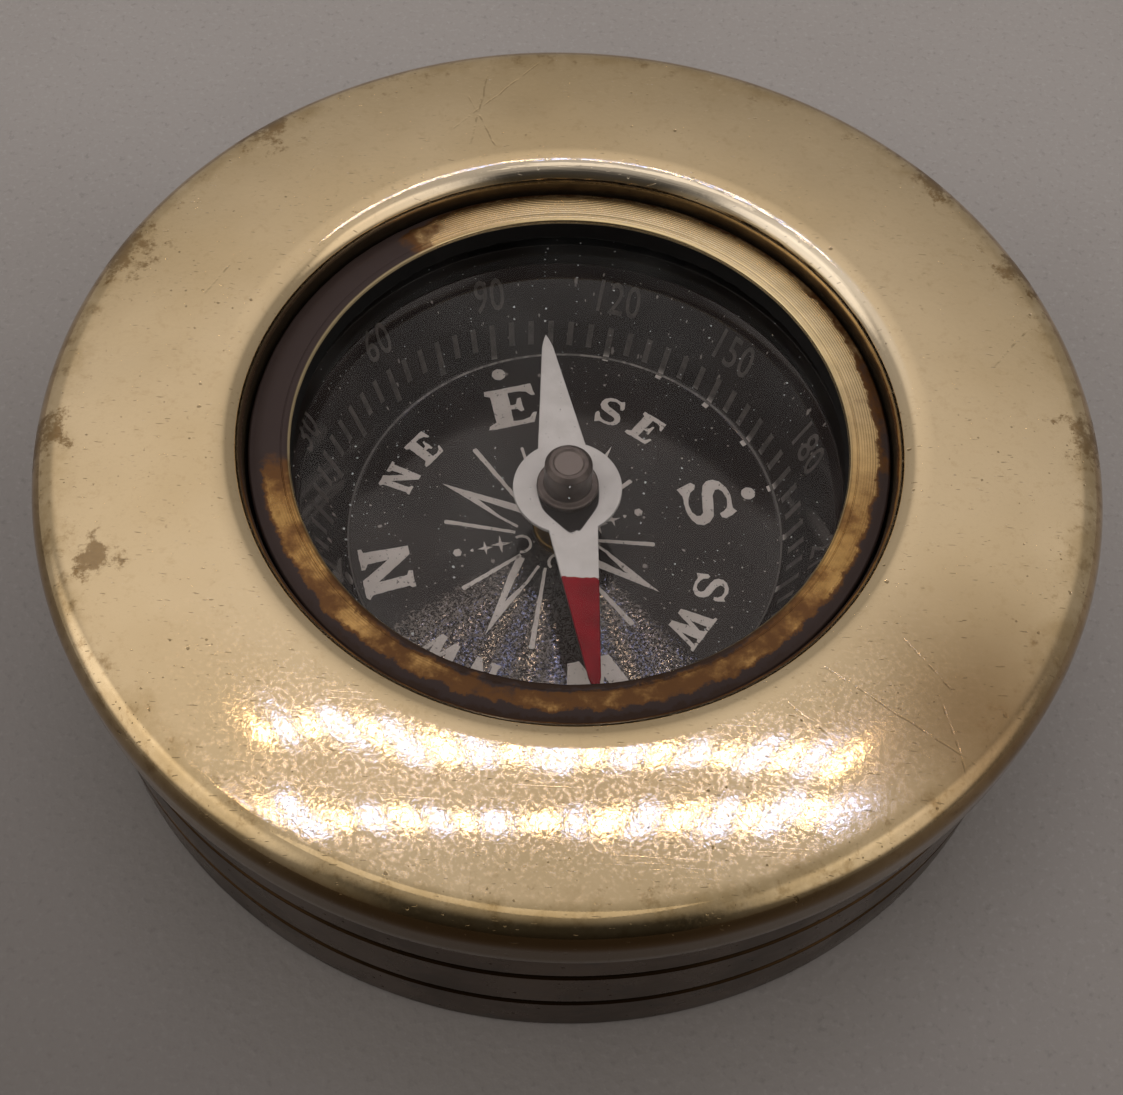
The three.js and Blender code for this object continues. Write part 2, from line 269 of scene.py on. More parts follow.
# Wear of the cover ring, in millimetres. Tarnish, and a duller, darker patch: a place and its
# reach. Scratches: from one point to another.
TARNISH_PLACES = (
    (37.0, 0.5, 20.6, 5.0), (33.8, 15.5, 21.4, 4.2), (-37.2, -4.0, 20.4, 5.0), (-34.5, 13.0, 21.0, 6.0),
    (-26.0, 27.0, 20.8, 6.0), (28.0, 25.0, 20.9, 5.0), (-31.0, -13.5, 21.6, 3.2))
DULL_PLACE = (27.0, -22.0, 21.9, 14.0)
SCRATCHES = (
    ((17.0, -19.0), (26.6, -25.3)), ((24.6, -21.2), (25.9, -26.0)), ((14.6, -21.7), (17.6, -24.2)),
    ((-9.7, 31.0), (-6.9, 25.4)), ((-10.6, 27.0), (-3.8, 35.6)), ((-9.0, 25.5), (-8.2, 34.0)),
    ((22.3, -16.6), (25.5, -20.4)), ((-27.5, 9.0), (-25.8, 12.4)), ((30.5, 6.0), (33.4, 9.8)))
SCRATCH_WIDTH = 0.09
SCRATCH_WANDER = 0.7
SCRATCH_TAPER = 0.6


def scratch(place, start, end):
    """A mask of one scratch between two points, broken up along its length."""
    length = math.hypot(end[0] - start[0], end[1] - start[1])
    turn = math.atan2(end[1] - start[1], end[0] - start[0])
    inputs = {"Vector": place, "Location": (start[0] * MM, start[1] * MM, 0), "Rotation": (0, 0, turn)}
    laid = add("ShaderNodeMapping", inputs, vector_type="TEXTURE").outputs[0]
    wander = add("ShaderNodeTexNoise", {"Vector": laid, "Scale": 250, "Detail": 2}).outputs["Fac"]
    x, y, z = axes(laid)
    aside = math_of("ABSOLUTE", plus(times(minus(wander, 0.5), SCRATCH_WANDER * MM), y))
    near = ramp(aside, SCRATCH_WIDTH * MM, SCRATCH_WIDTH * 0.4 * MM)
    broken = ramp(grain(laid, 0.8, 3), 0.36, 0.52)
    first = ramp(x, 0, SCRATCH_TAPER * MM)
    last = ramp(x, length * MM, (length - SCRATCH_TAPER) * MM)
    return times(near, broken, first, last)


def polished_brass():
    """Brass polished by hand: mirror-like and cream-gold, with an uneven haze that spreads the lamps,
    wiping scratches and pits, a brown film and stains where fingers reach the edge, a painted silvery
    highlight on the far lip, painted shade on the near side of the rounded edge, and a darker bore wall."""
    look, shader, place = new_look("polished_brass")
    radius, angle, height = polar(place)
    edge = ramp(radius, 31.0, 37.4)
    film = ramp(times(edge, grain(place, 3.5, 5, 0.65)), 0.30, 0.62)
    blotch = grain(place, 1.3, 6, 0.7)
    reach = plus(*[near_place(place, *where) for where in TARNISH_PLACES])
    stain = ramp(plus(blotch, times(reach, 0.34)), 0.66, 0.80)
    rim = ramp(plus(times(edge, 0.2), blotch), 0.70, 0.87)
    mottle = ramp(grain(place, 0.9, 6, 0.75), 0.52, 0.70)
    crowd = times(plus(times(edge, 0.24), 0.10), ramp(grain(place, 6, 3), 0.48, 0.66, 0.12, 1.7))
    pits = plus(specks(place, 2.4, 0.20, crowd), specks(place, 1.2, 0.11, crowd),
                specks(place, 0.7, 0.06, times(crowd, 0.6)))
    nicks = plus(hairlines(place, 0.9, 0.9, 0.13, 0.74), hairlines(place, 2.2, 0.7, 0.12, 0.75),
                 hairlines(place, 1.5, 1.3, 0.10, 0.76))
    worn = math_of("ADD", pits, times(nicks, 0.8), clamp=True)
    # Painted shade: on the near side the rounded edge's shoulder and lower flank are darkened, standing for the
    # dark floor they mirror.
    facing = near_bearing(angle, 270, 48)
    shoulder = times(ramp(radius, 35.3, 36.3), facing)
    flank_painted_shade = times(ramp(height, 21.4, 20.8), facing)
    marks = math_of("MINIMUM", plus(*[scratch(place, *ends) for ends in SCRATCHES]), 1.0)
    dull = times(near_place(place, *DULL_PLACE), ramp(grain(place, 9, 3), 0.3, 0.6, 0.75, 1.0))
    lines = plus(*[hairlines(place, turn, 9, 0.07, 0.74) for turn in (0.35, 1.25, 2.5)])
    # The wall of the bore below the lip: darker and rougher.
    wall = times(ramp(radius, BORE_RADIUS + 0.15, BORE_RADIUS + 0.02), ramp(height, 20.75, 20.35))
    lip = times(ramp(radius, 24.9, 24.5), near_bearing(angle, 72, 75))
    # Painted highlight: the far lip is mixed towards silver, standing for the lamps mirrored there.
    lip_painted_highlight = times(lip, ramp(height, 21.0, 21.3))
    colour = layered(
        mix(ramp(grain(place, 16, 3), 0.35, 0.7), "d0b894", "c6ad87"), (film, 0.45, "94784a"),
        (stain, 0.7, "6d5230"), (rim, 0.5, "7a5c34"), (mottle, 0.20, "a08257"), (worn, 0.6, "6f5735"),
        (shoulder, 0.5, "7a6743"), (flank_painted_shade, 0.95, "6b5437"), (marks, 0.35, "7d6644"), (dull, 0.8, "785e40"),
        (wall, 0.9, "42352a"), (lip_painted_highlight, 0.7, "cfc4b4"))
    around = add("ShaderNodeCombineXYZ", {0: radius, 1: height, 2: times(angle, 1.5)}).outputs[0]
    hair = add("ShaderNodeTexNoise", {"Vector": around, "Scale": 4.5, "Detail": 2}).outputs["Fac"]
    haze = ramp(grain(place, 0.30, 3, 0.65), 0.44, 0.64, 0.030, 0.145)
    rough = plus(haze, times(stain, 0.25), times(film, 0.05), times(lines, 0.02), times(dull, 0.07),
                 times(wall, 0.45))
    relief = relief_of((grain(place, 2.2, 1), 0.0012), (times(hair, lip), 0.014),
                       (grain(place, 0.42, 2, 0.6), 0.0026), (lines, 0.0002), (minus(1.0, worn), 0.02),
                       (minus(1.0, marks), 0.012))
    give(shader, {"Base Color": colour, "Roughness": rough, "Normal": relief, "Metallic": 1.0})
    return look


def side_brass():
    """Turned brass that is seldom polished: a dark brown, with fine tool lines round it and pits, and
    darker in the grooves and towards the foot."""
    look, shader, place = new_look("side_brass")
    radius, angle, height = polar(place)
    cloud = grain(place, 9, 5, 0.6)
    blotch = ramp(grain(place, 1.8, 6, 0.65), 0.52, 0.76, 0.0, 0.8)
    unrolled = add("ShaderNodeCombineXYZ", {0: times(angle, BODY_RADIUS * MM), 1: times(height, MM)}).outputs[0]
    pits = specks(unrolled, 1.6, 0.16, 0.35)
    foot = ramp(height, 1.6, 0.2)
    grooves = plus(*[ramp(math_of("ABSOLUTE", minus(height, z)), 0.62, 0.34) for z in GROOVE_MIDDLES])
    colour = layered(mix(ramp(cloud, 0.35, 0.7), "5a3f22", "402b14"), (blotch, 1.0, "2c2015"),
                     (pits, 0.7, "2c2114"), (foot, 0.5, "332617"), (grooves, 0.9, "15100b"))
    rough = plus(ramp(cloud, 0.3, 0.7, 0.22, 0.34), times(pits, 0.3))
    tool = grain(place, 1.0, 2, 0.5, (0.02, 0.02, 9))
    relief = relief_of((pits, -0.02), (tool, 0.004))
    give(shader, {"Base Color": colour, "Roughness": rough, "Normal": relief, "Metallic": 1.0})
    return look


TOOL_LINE_GAP = 0.19


def tarnished_brass():
    """Brass that cloths can't reach: turned and still pale gold where it is rubbed, brown to black at
    both edges and in long patches, and black on the wall down to the glass. Painted shade over tarnish
    darkens the near side and its edges, a painted sheen and less tarnish pale the far side, and a
    painted highlight lines the inner chamfer except on the near side."""
    look, shader, place = new_look("tarnished_brass")
    radius, angle, height = polar(place)
    patch = grain(place, 3.2, 6, 0.62)
    fine = grain(place, 0.7, 4, 0.6)
    drift = plus(times(minus(grain(place, 1.5, 5, 0.7), 0.5), 1.6), radius)
    outer = ramp(plus(times(near_bearing(angle, 90, 75), -0.5), drift), 21.85, 22.45)
    inner = ramp(drift, 20.95, 20.45)
    upper_left = near_bearing(angle, 158, 40)
    # Painted shade: the near side is browner and rougher, with dark edges, standing for the shade that falls
    # there.
    near_side_shade = near_bearing(angle, 268, 62)
    # Painted sheen: the far side is paler cream and less tarnished.
    far_side_sheen = near_bearing(angle, 62, 85)
    cover = plus(patch, times(fine, 0.2), times(outer, 0.46), times(inner, near_side_shade, 0.3),
                 times(upper_left, 1.1), times(near_side_shade, 0.12), times(far_side_sheen, -0.34))
    brown = ramp(cover, 0.52, 0.78)
    black = ramp(cover, 0.80, 1.0)
    wall = ramp(height, 19.42, 19.34)
    # Painted highlight: a pale cream line on the inner chamfer, left out on the near side.
    edge = times(ramp(radius, BEZEL_INNER + 0.20, BEZEL_INNER + 0.06), minus(1.0, near_side_shade))
    rims = math_of("ADD", ramp(drift, 22.45, 22.75), ramp(drift, 20.62, 20.42), clamp=True)
    colour = layered(
        mix(ramp(patch, 0.3, 0.65), "ab8652", "876237"), (far_side_sheen, 0.8, "cdb991"), (brown, 1.0, "5f422a"),
        (black, 1.0, "3b2f2c"), (times(rims, near_side_shade), 0.9, "34241a"), (edge, 0.75, "cdb78d"),
        (wall, 1.0, "0d0b0a"))
    rough = plus(0.24, times(brown, 0.14), times(near_side_shade, 0.16), times(black, 0.1), times(wall, 0.3))
    metal = minus(1.0, math_of("ADD", times(black, 0.5), wall, clamp=True))
    tool = math_of("SINE", times(radius, TAU / TOOL_LINE_GAP))
    relief = relief_of((fine, 0.012), (times(tool, minus(1.0, brown)), 0.005))
    give(shader, {"Base Color": colour, "Roughness": rough, "Metallic": metal, "Normal": relief,
                  "Specular IOR Level": 0.25})
    return look


def plain_look(name, colour, second, size, roughness, metallic=0.0, depth=0.004):
    """A finish of two near colours in clouds of a size, with a fine relief."""
    look, shader, place = new_look(name)
    cloud = grain(place, size, 5, 0.6)
    give(shader, {"Base Color": mix(ramp(cloud, 0.35, 0.68), colour, second),
                  "Roughness": ramp(cloud, 0.3, 0.7, roughness * 0.85, roughness * 1.15),
                  "Normal": bump(grain(place, size * 0.2, 3), depth), "Metallic": metallic})
    return look


FLECK_SIZE = 0.11
FLECK_TILT = 0.42


def dial_enamel():
    """Black stoving enamel on a spun brass sheet, with dust on it. In the near sector where the lamps are
    mirrored, pale flecks of metal, a painted sheen, lie tilted outward and inward, so that each lamp's
    image breaks up into a spoke of glints."""
    look, shader, place = new_look("dial_enamel")
    radius, angle, height = polar(place)
    dust = plus(specks(place, 3.0, 0.24, 0.24), specks(place, 1.3, 0.13, 0.22), specks(place, 0.7, 0.08, 0.16))
    # Painted sheen: the pale metal flecks lie only in the near sector, where the lamps are mirrored.
    worn = times(ramp(radius, 17.1, 16.8), ramp(near_bearing(angle, 264, 66), 0.03, 0.70))
    distance, (pick, second, third) = cells(place, FLECK_SIZE)
    sheen_flecks = ramp(times(pick, worn), 0.50, 0.56)
    metal = times(sheen_flecks, 0.6)
    colour = layered(mix(ramp(grain(place, 7, 4), 0.3, 0.7), "2a2322", "352d2b"), (dust, 0.75, "a8a09b"),
                     (metal, 1.0, "8f8782"))
    along = vector_of("NORMALIZE", vector_of("MULTIPLY", place, (1, 1, 0)).outputs[0]).outputs[0]
    tilt = times(minus(grain(place, 0.26, 1), 0.5), times(worn, FLECK_TILT))
    push = add("ShaderNodeVectorMath", {0: along, "Scale": tilt}, operation="SCALE").outputs[0]
    flat = add("ShaderNodeNewGeometry", tree=look.node_tree).outputs["Normal"]
    relief = vector_of("NORMALIZE", vector_of("ADD", flat, push).outputs[0]).outputs[0]
    give(shader, {"Base Color": colour, "Normal": relief, "Tangent": along, "Metallic": metal,
                  "Specular IOR Level": ramp(sheen_flecks, 0.0, 1.0, 0.42, 0.9), "Roughness": 0.06,
                  "Anisotropic": 1.0})
    return look


def print_paint():
    """Off-white pad print, thin enough to have small chips, darkened past the fold by painted shade."""
    look, shader, place = new_look("print_paint")
    radius, angle, height = polar(place)
    patchy = ramp(grain(place, 1.1, 5, 0.7), 0.35, 0.68)
    chips = ramp(grain(place, 0.28, 3, 0.6), 0.62, 0.68)
    on_line = math_of("COMPARE", radius, DIAL_FOLD_RADIUS - 0.15, 0.13)
    # Painted highlight: the fold ring is paler on its far part, standing for light on the bend; elsewhere it is
    # dark.
    fold_highlight = ramp(times(near_bearing(angle, 100, 80), patchy), 0.2, 0.8)
    # Painted shade: past the fold, on the steep cone, the print is darkened to grey.
    colour = layered(mix(ramp(grain(place, 2.5, 4), 0.3, 0.7), "f0ebe6", "ded8d2"), (chips, 0.75, "4a4642"),
                     (ramp(radius, 17.02, 17.5), 0.95, mix(patchy, "3b3633", "605955")),
                     (on_line, 0.9, mix(fold_highlight, "3d3835", "8d8681")))
    give(shader, {"Base Color": colour, "Roughness": 0.38})
    return look


RED_START = 7.8
# How far the cap's painted shadow reaches from the axis along the red arm, in millimetres.
CAP_SHADOW_REACH = 4.15


def needle_paint():
    """Brushed-on enamel: white, red from the middle of one arm, and a ragged dark patch on the red side
    of the ring: the painted shadow of the cap, over paint worn to the dark primer."""
    look, shader, place = new_look("needle_paint")
    turn = (0, 0, math.pi / 2 - NEEDLE_BEARING)
    x, y, z = axes(add("ShaderNodeMapping", {"Vector": place, "Rotation": turn}).outputs[0])
    across, along = math_of("DIVIDE", x, MM), math_of("DIVIDE", y, MM)
    tone = ramp(grain(place, 1.6, 4), 0.3, 0.7)
    edge = plus(along, times(across, 0.16), times(grain(place, 0.4, 3), 0.25))
    # Painted shadow: the cap's shadow as a ragged dark patch on the red side of the ring.
    half = ramp(along, -CAP_SHADOW_REACH, -1.6, 1.45, 2.35)
    ragged = times(minus(grain(place, 0.45, 5, 0.7), 0.5), 2.2)
    rounded = plus(math_of("POWER", math_of("DIVIDE", across, half), 2.0),
                   math_of("POWER", math_of("DIVIDE", math_of("MINIMUM", along, 0.0), 4.2), 2.0))
    patch = times(ramp(plus(along, CAP_SHADOW_REACH, ragged), -0.1, 0.12), ramp(along, 0.6, 0.3),
                  ramp(rounded, 1.05, 0.95))
    colour = mix(ramp(edge, -RED_START, -RED_START - 0.08), mix(tone, "efeeee", "e2e1e0"),
                 mix(tone, "9c1022", "820a18"))
    colour = layered(colour, (patch, 1.0, "2e2928"), (specks(place, 0.9, 0.05, 0.25), 0.6, "5c534d"))
    give(shader, {"Base Color": colour, "Normal": bump(grain(place, 0.5, 2), 0.004), "Roughness": 0.45,
                  "Specular IOR Level": 0.12})
    return look


def cap_brass():
    """Old brass with a dark patina, paler where the top is dished round the jewel."""
    look, shader, place = new_look("patinated_cap_brass")
    radius, angle, height = polar(place)
    pale = times(ramp(radius, 1.30, 1.0), ramp(height, 15.3, 15.45))
    patina = mix(ramp(grain(place, 1.2, 5, 0.6), 0.35, 0.68), "756a65", "605652")
    colour = layered(patina, (pale, 0.8, "8b817c"))
    give(shader, {"Base Color": colour, "Normal": bump(grain(place, 0.24, 3), 0.006), "Metallic": 0.5,
                  "Roughness": 0.42})
    return look


GLASS_IOR = 1.5


def window_glass():
    """Flat crystal glass: it shows what is below by a clear share, mirrors by a part of its Fresnel
    share, and carries a thin haze and a little dust."""
    look, shader, place = new_look("window_glass")
    give(shader, {"Base Color": "e6e8e6", "Roughness": 0.02})
    tree = look.node_tree
    clear = add("ShaderNodeBsdfTransparent", {"Color": "f6f4f3"}, tree)
    fresnel = add("ShaderNodeFresnel", {"IOR": GLASS_IOR}, tree).outputs[0]
    shine = add("ShaderNodeBsdfGlossy", {"Roughness": 0.02}, tree)
    see = add("ShaderNodeMixShader", {0: times(fresnel, 0.16), 1: clear.outputs[0], 2: shine.outputs[0]})
    dust = plus(specks(place, 2.6, 0.13, 0.25), specks(place, 0.9, 0.07, 0.14))
    share = math_of("ADD", ramp(grain(place, 9, 4), 0.4, 0.8, 0.0, 0.014), times(dust, 0.4), clamp=True)
    final = add("ShaderNodeMixShader", {0: share, 1: see.outputs[0], 2: shader.outputs[0]})
    give(tree.nodes["Material Output"], {"Surface": final.outputs[0]})
    return look


POLISHED = polished_brass()
SIDE = side_brass()
TARNISHED = tarnished_brass()
ENAMEL = dial_enamel()
PRINT = print_paint()
PAINT = needle_paint()
GLASS = window_glass()
CAP = cap_brass()
# Plain finishes: chemically blacked brass, matt gasket paper, a turned post, ground steel, brown agate.
BLACKED = plain_look("blacked_brass", "1c1917", "2a2521", 4, 0.5, 0.3)
GASKET = plain_look("gasket_paper", "0f0e0d", "1b1917", 0.8, 0.9, 0.0, 0.02)
POST = plain_look("post_brass", "8c7140", "6d552e", 2.0, 0.35, 1.0)
STEEL = plain_look("ground_steel", "8d8f92", "7c7e82", 1.0, 0.3, 1.0)
AGATE = plain_look("brown_agate", "7a4a3a", "5c3226", 0.8, 0.15, 0.0, 0.001)


# Turned pieces

def turned(outline, sides, closed=True, swell=None):
    """Vertices and faces of a body turned about the Z axis from (radius, height) points, counter-
    clockwise. swell(angle, radius, height) moves a vertex out along the outline's normal."""
    verts, rings, faces = [], [], []
    count = len(outline)
    for i, (radius, height) in enumerate(outline):
        before, after = outline[i - 1], outline[(i + 1) % count]
        along = Vector((after[0] - before[0], after[1] - before[1]))
        out = Vector((along.y, -along.x))
        out.normalize()
        if radius == 0:
            rings.append([len(verts)] * sides)
            verts.append((0, 0, height))
            continue
        rings.append(list(range(len(verts), len(verts) + sides)))
        for k in range(sides):
            angle = TAU * k / sides
            push = swell(angle, radius, height) if swell else 0
            reach = radius + out.x * push
            verts.append((reach * math.cos(angle), reach * math.sin(angle), height + out.y * push))
    for i in range(count if closed else count - 1):
        lower, upper = rings[i], rings[(i + 1) % count]
        for k in range(sides):
            after = (k + 1) % sides
            face = (lower[k], lower[after], upper[after], upper[k])
            face = tuple(dict.fromkeys(face))
            if len(face) > 2:
                faces.append(face)
    return verts, faces


# A ring of points this close to a fillet keeps the shading of the flat beside it flat.
FLAT_GUARD = 0.03


def filleted(corners, steps=4):
    """Outline points with each corner of (radius, height, fillet) rounded by its fillet."""
    points = []
    for i, (radius, height, fillet) in enumerate(corners):
        here = Vector((radius, height))
        if not fillet:
            points.append((radius, height))
            continue
        before = (Vector(corners[i - 1][:2]) - here).normalized()
        after = (Vector(corners[(i + 1) % len(corners)][:2]) - here).normalized()
        half = before.angle(after) / 2
        centre = here + (before + after).normalized() * (fillet / math.sin(half))
        first = here + before * (fillet / math.tan(half)) - centre
        last = here + after * (fillet / math.tan(half)) - centre
        start = math.atan2(first.y, first.x)
        sweep = (math.atan2(last.y, last.x) - start + math.pi) % TAU - math.pi
        points.append(tuple(centre + first + before * FLAT_GUARD))
        for k in range(steps + 1):
            angle = start + sweep * k / steps
            points.append((centre.x + fillet * math.cos(angle), centre.y + fillet * math.sin(angle)))
        points.append(tuple(centre + last + after * FLAT_GUARD))
    return points


def arc(centre_radius, centre_z, radius, from_quarter, to_quarter, steps):
    """Outline points on an arc, in quarter turns."""
    turns = [from_quarter + (to_quarter - from_quarter) * k / steps for k in range(steps + 1)]
    return [(centre_radius + radius * math.cos(q * math.pi / 2),
             centre_z + radius * math.sin(q * math.pi / 2)) for q in turns]


def new_piece(name, verts, faces, look, body, slot, replaces=(), sharp=35.0):
    """Makes a finished piece from vertices in millimetres and ties it to the CAD frame. Edges that turn
    by more than sharp, in degrees, shade as edges."""
    mesh = bpy.data.meshes.new(name)
    mesh.from_pydata([(x * MM, y * MM, z * MM) for x, y, z in verts], [], faces)
    mesh.materials.append(look)
    mesh.shade_smooth()
    mesh.set_sharp_from_angle(angle=math.radians(sharp))
    mesh.validate()
    piece = placed(name, mesh)
    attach(piece, body)
    if replaces:
        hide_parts(*replaces)


# Brass body, cover ring and bezel

FOOT_INNER = 33.3
CHAMFER = 0.4
GROOVE_HALF = 0.45
GROOVE_DEPTH = 0.6
CAVITY_RADIUS = 22.9
CAVITY_FLOOR_Z = 4.3
SEAT_Z = 13.5


def drum_outline():
    """The body: a foot ring, a side with V grooves, the seat of the ring's spigot and the cavity."""
    face, groove, counterbore = BODY_RADIUS - CHAMFER, BODY_RADIUS - GROOVE_DEPTH, SPIGOT_RADIUS + 0.2
    corners = [(0, 0.5, 0), (FOOT_INNER - 0.5, 0.5, 0.2), (FOOT_INNER, 0, 0.15), (face, 0, 0.1),
               (BODY_RADIUS, CHAMFER, 0.25)]
    for middle in GROOVE_MIDDLES:
        corners += [(BODY_RADIUS, middle - GROOVE_HALF, 0.12), (groove, middle - 0.1, 0.05),
                    (groove, middle + 0.1, 0.05), (BODY_RADIUS, middle + GROOVE_HALF, 0.12)]
    corners += [(BODY_RADIUS, JOINT_Z - CHAMFER, 0.2), (face, JOINT_Z, 0.1), (counterbore, JOINT_Z, 0),
                (counterbore, SEAT_Z, 0), (CAVITY_RADIUS, SEAT_Z, 0), (CAVITY_RADIUS, CAVITY_FLOOR_Z, 0),
                (0, CAVITY_FLOOR_Z, 0)]
    return filleted(corners)


def side_swell(angle, radius, height):
    """Slight waviness that hand polishing leaves."""
    if radius < BODY_RADIUS - 0.1 or height > JOINT_Z - CHAMFER:
        return 0
    where = Vector((radius * math.cos(angle), radius * math.sin(angle), height * 2))
    return 0.02 * noise.noise(where / 9) - 0.02


# The ring's domed top is nearly flat at its crest, which lies nearer the window, and falls by the square
# of the way from it. The edge is one round. The lip turns down by a wide shoulder and then a small round.
DOME_CREST = 28.0
DOME_CURVE = 0.0028
DOME_Z = 21.97
EDGE_ROUND = 2.2
LIP_START = 25.8
LIP_SHOULDER = 6.0
LIP_TURN = math.radians(11)
LIP_ROUND = 1.675
DOME_STEPS = 28


def dome_height(radius):
    return DOME_Z - DOME_CURVE * (radius - DOME_CREST) ** 2


def ring_outline():
    """The cover ring: its spigot, the joint with the body, the rounded edge, the dome and the lip."""
    outline = [(BORE_RADIUS, CLAMP_TOP_Z), (SPIGOT_RADIUS - CHAMFER, CLAMP_TOP_Z),
               (SPIGOT_RADIUS, CLAMP_TOP_Z + CHAMFER), (SPIGOT_RADIUS, JOINT_Z), (EDGE_RADIUS - 0.25, JOINT_Z),
               (EDGE_RADIUS - 0.07, JOINT_Z + 0.04)]
    outline += [(EDGE_RADIUS, height) for height in (17.5, 18.2, 18.9, 19.4)]
    middle = EDGE_RADIUS - EDGE_ROUND
    lean = math.atan(2 * DOME_CURVE * (middle - DOME_CREST))
    outline += arc(middle, 19.6, EDGE_ROUND, 0, 1 - lean / (math.pi / 2), 20)
    start = middle + EDGE_ROUND * math.sin(lean)
    for k in range(1, DOME_STEPS):
        radius = start + (LIP_START - start) * k / DOME_STEPS
        outline.append((radius, dome_height(radius)))
    lip_z = dome_height(LIP_START) - LIP_SHOULDER
    share = LIP_TURN / (math.pi / 2)
    outline += arc(LIP_START, lip_z, LIP_SHOULDER, 1, 1 + share, 10)
    inward = LIP_SHOULDER - LIP_ROUND
    outline += arc(LIP_START - inward * math.sin(LIP_TURN), lip_z + inward * math.cos(LIP_TURN), LIP_ROUND,
                   1 + share, 2, 16)[1:]
    return outline + [(BORE_RADIUS, height) for height in (19.8, 18.6, 16.2)]


# Dents of the ring's top, in millimetres: place, reach and depth.
DENTS = ((27.0, -22.0, 3.2, 0.03), (-14.0, -29.0, 2.6, 0.012), (-24.0, -20.0, 2.4, 0.012),
         (8.0, -30.5, 2.8, 0.008), (33.0, -10.0, 2.2, 0.03), (-31.0, 4.0, 2.6, 0.02), (18.0, 26.0, 2.4, 0.02),
         (-5.0, 31.5, 2.2, 0.02))


def ring_swell(angle, radius, height):
    """Soft waves and shallow dents in the ring's top, kept inside the CAD solid."""
    if height < JOINT_Z + 0.1:
        return 0
    x, y = radius * math.cos(angle), radius * math.sin(angle)
    push = 0.025 * noise.noise(Vector((x, y, height)) / 11) - 0.03
    push += 0.006 * noise.noise(Vector((x, y, 7)) / 3.5)
    for dent_x, dent_y, reach, depth in DENTS:
        push -= depth * math.exp(-((x - dent_x) ** 2 + (y - dent_y) ** 2) / reach ** 2)
    return push


# The bezel's flat crown, worn lower towards both edges, with one turned groove near the inner edge.
BEZEL_CROWN = ((22.6, 19.65), (22.3, 19.72), (22.0, 19.765), (21.6, 19.785), (21.2, 19.785), (20.9, 19.775),
               (20.78, 19.765), (20.74, 19.73), (20.70, 19.73), (20.66, 19.76), (20.5, 19.75), (20.36, 19.735),
               (20.24, 19.70), (20.15, 19.62), (20.11, 19.5))


def bezel_outline():
    """The bezel: the seat on the glass, the skirt that the ring clamps, the crown and the inner wall."""
    skirt = BEZEL_OUTER - 0.65
    outline = [(BEZEL_INNER, BEZEL_SEAT_Z), (skirt, BEZEL_SEAT_Z), (skirt, 14.6), (BEZEL_OUTER, 14.6),
               (BEZEL_OUTER, 17.0), (BEZEL_OUTER, 18.9)]
    outline += arc(BEZEL_OUTER - 0.25, 19.35, 0.25, 0, 1, 10)
    return outline + [*BEZEL_CROWN, (BEZEL_INNER, 19.4), (BEZEL_INNER, 18.5)]


def bezel_swell(angle, radius, height):
    """Nicks and wear that make the old ring's edges uneven."""
    if height < BEZEL_SEAT_Z + 0.05:
        return 0
    x, y = radius * math.cos(angle), radius * math.sin(angle)
    return 0.02 * noise.noise(Vector((x, y, height)) / 1.4) - 0.012


def gasket_ragged(angle, radius, height):
    """Torn inner edge of the paper gasket."""
    if radius > 21:
        return 0
    where = Vector((math.cos(angle) * 14, math.sin(angle) * 14, 3))
    return 0.10 * noise.noise(where) + 0.10 * noise.noise(where * 3.1)


LARGE = 288
FINE = 2 * LARGE
SPACER_BORE = 20.75
gasket = [(20.2, GLASS_TOP_Z), (21.0, GLASS_TOP_Z), (GLASS_RADIUS, GLASS_TOP_Z), (GLASS_RADIUS, BEZEL_SEAT_Z),
          (21.0, BEZEL_SEAT_Z), (20.2, BEZEL_SEAT_Z)]
pane = filleted([(0, GLASS_BOTTOM_Z, 0), (GLASS_RADIUS, GLASS_BOTTOM_Z, 0.2), (GLASS_RADIUS, GLASS_TOP_Z, 0.2),
                 (0, GLASS_TOP_Z, 0)])
spacer = filleted([(SPACER_BORE, DIAL_RIM_Z, 0.08), (GLASS_RADIUS, DIAL_RIM_Z, 0),
                   (GLASS_RADIUS, GLASS_BOTTOM_Z, 0), (SPACER_BORE, GLASS_BOTTOM_Z, 0.08)])
new_piece("drum", *turned(drum_outline(), LARGE, False, side_swell), SIDE, "root", "side_brass", ["drum_body"])
new_piece("domed_ring", *turned(ring_outline(), FINE, True, ring_swell), POLISHED, "root", "polished_brass",
          ["cover_ring"])
new_piece("window_bezel", *turned(bezel_outline(), FINE, True, bezel_swell), TARNISHED, "root",
          "tarnished_brass", ["bezel_ring"])
new_piece("gasket", *turned(gasket, FINE, True, gasket_ragged), GASKET, "root", "gasket_paper",
          ["glass_gasket"])
new_piece("window_pane", *turned(pane, LARGE, False), GLASS, "root", "clear_glass", ["glass"])
new_piece("spacer", *turned(spacer, LARGE), BLACKED, "root", "blacked_brass", ["spacer_ring"])


# Dial

def dial_profile(slant, lift):
    """Radius and height of the dial's upper side at a distance along the sheet from its centre."""
    past = slant - DIAL_FOLD_RADIUS
    if past <= -BEND_REACH:
        return slant, DIAL_FACE_Z + lift
    bend = BEND_REACH / math.tan(CONE_ANGLE / 2)
    if past < BEND_REACH:
        turn = CONE_ANGLE * (past + BEND_REACH) / (2 * BEND_REACH)
        inner = bend - lift
        return (DIAL_FOLD_RADIUS - BEND_REACH + inner * math.sin(turn),
                DIAL_FACE_Z + bend - inner * math.cos(turn))
    return (DIAL_FOLD_RADIUS + past * math.cos(CONE_ANGLE) - lift * math.sin(CONE_ANGLE),
            DIAL_FACE_Z + past * math.sin(CONE_ANGLE) + lift * math.cos(CONE_ANGLE))


